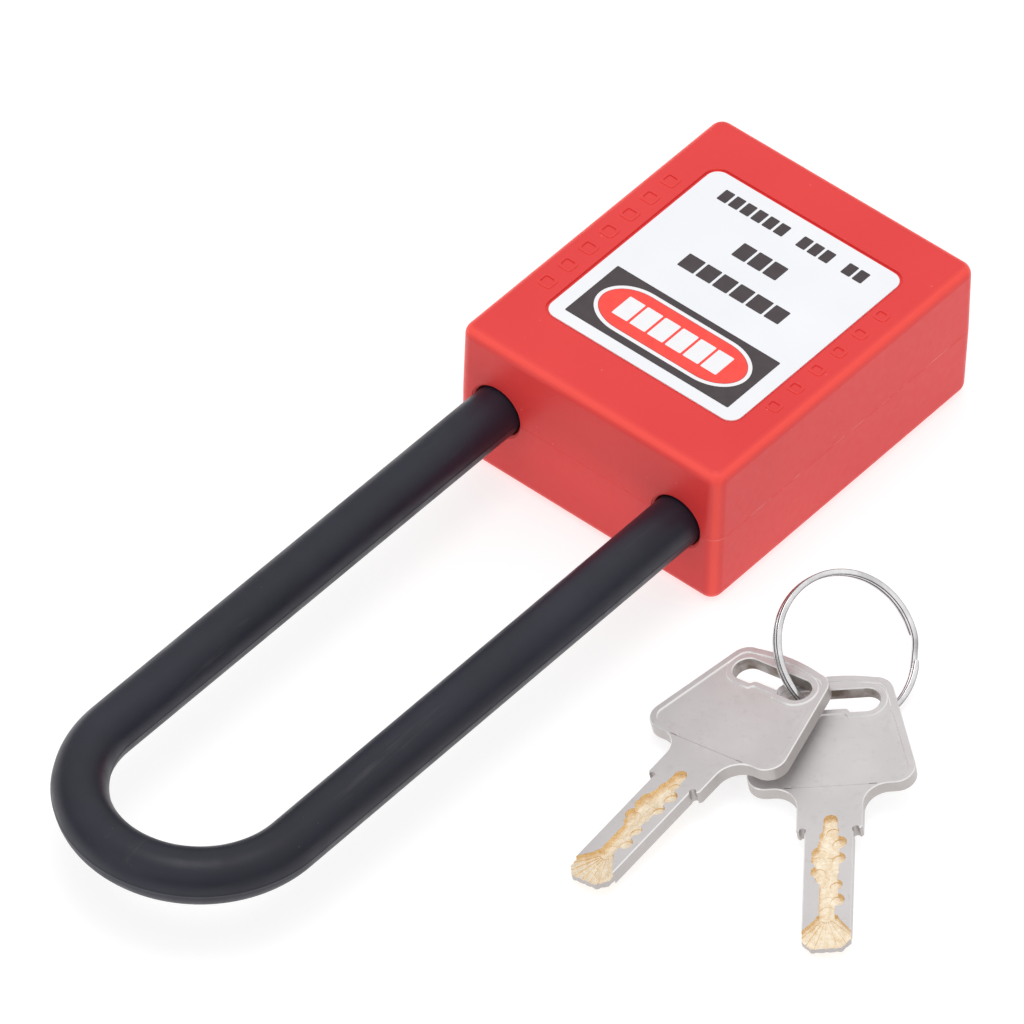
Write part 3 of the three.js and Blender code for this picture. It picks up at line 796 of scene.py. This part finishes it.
def track_tools(top):
    """Cutters for one face's milled track: pits along a channel, and a fan at the tip."""
    thick = KEY["thick"]

    def span(depth):
        return (thick - depth, thick + 1) if top else (-1, depth)

    tools = [prism("channel", TRACK_CHANNEL, *span(CHANNEL_DEPTH), TRACK)]
    for x, y, radius, depth in TRACK_PITS:
        tools.append(disc_z("pit", x, y, radius, *span(depth), 20, TRACK))
    tools.append(prism("fan", TRACK_FAN, *span(FAN_DEPTH), TRACK))
    root = Vector((0, 4.4))  # the fan's grooves spread from here
    for index in range(7):
        turn = math.radians(-42 + 14 * index)
        side = Vector((math.cos(turn), math.sin(turn))) * 0.16
        along = Vector((math.sin(turn), -math.cos(turn)))
        start, end = root + along * 0.8, root + along * 5.5
        wedge = [start - side * 0.4, end - side * 1.6, end + side * 1.6, start + side * 0.4]
        tools.append(prism("groove", [tuple(p) for p in wedge], *span(GROOVE_DEPTH), TRACK))
    return tools


def key_mesh(name):
    """A blank with its slot, its sunk panels and the line below each, the stop's bites and the tracks."""
    thick = KEY["thick"]
    edge = 0.12
    panel_depth, line_depth = 0.16, 0.24
    blank = prism(name, key_outline(), 0, thick, NICKEL, chamfer=edge)
    slot_levels = ((-0.3, 0.4), (0, edge), (edge, 0), (thick - edge, 0), (thick, edge), (thick + 0.3, 0.4))
    tools = [layers("slot", key_slot, slot_levels, NICKEL)]
    panel = key_field()
    for field_levels, rim_levels in (
        (((thick - panel_depth, 0), (thick + 0.04, 0.15)), ((thick - 0.3, 0.92), (thick + 0.1, 0.58))),
        (((-0.04, 0.15), (panel_depth, 0)), ((-0.1, 0.58), (0.3, 0.92))),
    ):
        field = layers("field", lambda grow: offset(panel, grow), field_levels, NICKEL)
        tools.append(combine(field, [layers("slot_rim", key_slot, rim_levels, NICKEL)]))
    line = HEAD_START - 0.05
    for low, high in ((thick - line_depth, thick + 1), (-1, line_depth)):
        tools.append(box("neck_line", -5.2, 5.2, line, line + 0.08, low, high))
    bite_x, bite_y, bite = KEY["blade"] + 0.25, KEY["shoulder"] - 0.1, 0.42
    for side in (-1, 1):
        tools.append(disc_z("bite", side * bite_x, bite_y, bite, -1, 3, 18, NICKEL))
    combine(blank, tools)
    for top in (True, False):
        combine(blank, track_tools(top))
    return blank


def rotation(degrees, axis):
    return Matrix.Rotation(math.radians(degrees), 4, axis)


def key_matrix(at, yaw, pitch, roll):
    """Where a key lies: its lowest corner is just above the floor."""
    rise = math.radians(pitch)
    tilt = math.sin(math.radians(roll)) * math.cos(rise)
    lowest = max(KEY["tip"] * tilt, KEY["blade"] * tilt - KEY["tip_chamfer"] * math.sin(rise))
    turn = rotation(yaw - 90, "Z") @ rotation(pitch, "X") @ rotation(-roll, "Y")
    return Matrix.Translation(Vector((*at, lowest + 0.05)) * MM) @ turn


for name, pose in KEYS.items():
    finish(key_mesh(name), f"{name}_look", name, [name], key_matrix(**pose), sharp=28)


# ---------- ring ----------
def ring_mesh():
    """Two turns of bright wire side by side, with one short step between them."""
    step, phase = math.radians(20), math.radians(37)
    off = (RING["axial"] + 0.06) / 2
    half_r, half_a = RING["radial"] / 2, RING["axial"] / 2 - 0.03
    section = rounded_rectangle(-half_r, half_r, -half_a, half_a, 0.17, 4)
    narrowing = {0: 0.72, 1: 0.9}
    rings = []
    count = 220
    for i in range(count + 1):
        angle = step + (4 * math.pi - step) * i / count
        t = min(1, max(0, (angle - 2 * math.pi) / step))
        lift = off * (2 * t * t * (3 - 2 * t) - 1)
        share = narrowing.get(min(i, count - i), 1)
        ring = []
        for r, a in section:
            radius = RING["radius"] + r * share
            x, y = radius * math.cos(angle - phase), radius * math.sin(angle - phase)
            ring.append((x, y, lift + a * share))
        rings.append(ring)
    return loft("ring_wire", rings, RING_STEEL)


ring_turn = rotation(RING["heading"] + 90, "Z") @ rotation(90 - RING["lean"], "X")
ring_matrix = Matrix.Translation(Vector(RING["at"]) * MM) @ ring_turn
finish(ring_mesh(), "key_ring_look", "keyring", ["key_ring"], ring_matrix, sharp=50)


# ---------- floor, light and camera ----------
# Places, sizes and powers here are in metres and watts, except the camera's, which are in millimetres.
floor_finish = Nodes("floor", (0.45, 0.45, 0.45), 0.9, specular=0.0)
floor_finish.shader.inputs["Emission Color"].default_value = (1, 1, 1, 1)
floor_finish.shader.inputs["Emission Strength"].default_value = 0.68
far = 3
floor_corners = [(-far, -far, 0), (far, -far, 0), (far, far, 0), (-far, far, 0)]
floor = new_object("floor", floor_corners, [(0, 1, 2, 3)], floor_finish.material)
floor.location.z = -0.05 * MM


def studio_sky(dim_at, bright_at, dim, bright):
    """A soft overhead light: bright above, dim at the horizon."""
    world = bpy.data.worlds.new("studio")
    bpy.context.scene.world = world
    world.use_nodes = True
    tree = world.node_tree
    background = tree.nodes["Background"]
    place = tree.nodes.new("ShaderNodeTexCoord")
    split = tree.nodes.new("ShaderNodeSeparateXYZ")
    rise = tree.nodes.new("ShaderNodeMapRange")
    rise.interpolation_type = "SMOOTHSTEP"
    for key, value in zip(("From Min", "From Max", "To Min", "To Max"), (dim_at, bright_at, dim, bright)):
        rise.inputs[key].default_value = value
    tree.links.new(place.outputs["Generated"], split.inputs["Vector"])
    tree.links.new(split.outputs["Z"], rise.inputs["Value"])
    tree.links.new(rise.outputs["Result"], background.inputs["Strength"])
    background.inputs["Color"].default_value = (1, 1, 1, 1)


studio_sky(dim_at=-0.1, bright_at=0.7, dim=0.03, bright=0.97)


def area_light(name, place, size, power):
    target = (0, 0.03, 0)
    data = bpy.data.lights.new(name, "AREA")
    data.shape = "DISK"
    data.size = size
    data.energy = power
    obj = bpy.data.objects.new(name, data)
    obj.location = place
    obj.rotation_euler = (Vector(target) - Vector(place)).to_track_quat("-Z", "Y").to_euler()
    collection.objects.link(obj)


area_light("end_light", (0.25, 1.1, 0.35), size=0.6, power=0.7)
area_light("top_light", (0, 0.05, 1.3), size=0.6, power=2.8)

CAMERA = dict(azimuth=219.0, elevation=45.461, roll=1.587, away=1360.65, right=-8.139, up=1.608, lens=421.9)


def photo_camera():
    azimuth, elevation, roll = (math.radians(CAMERA[key]) for key in ("azimuth", "elevation", "roll"))
    right = Vector((math.cos(azimuth), math.sin(azimuth), 0))
    back = Vector((
        math.sin(azimuth) * math.cos(elevation),
        -math.cos(azimuth) * math.cos(elevation),
        math.sin(elevation),
    ))
    up = back.cross(right)
    centre = Vector((0, FACE, 0)) + back * CAMERA["away"] + right * CAMERA["right"] + up * CAMERA["up"]
    right_rolled = right * math.cos(roll) + up * math.sin(roll)
    up_rolled = up * math.cos(roll) - right * math.sin(roll)
    data = bpy.data.cameras.new("camera")
    data.sensor_width = 36
    data.lens = CAMERA["lens"]
    data.clip_start, data.clip_end = 0.05, 20
    obj = bpy.data.objects.new("camera", data)
    rotation = Matrix((right_rolled, up_rolled, back)).transposed().to_4x4()
    obj.matrix_world = Matrix.Translation(centre * MM) @ rotation
    collection.objects.link(obj)
    bpy.context.scene.camera = obj


photo_camera()
bpy.context.scene.view_settings.view_transform = "Standard"

bpy.context.view_layer.update()
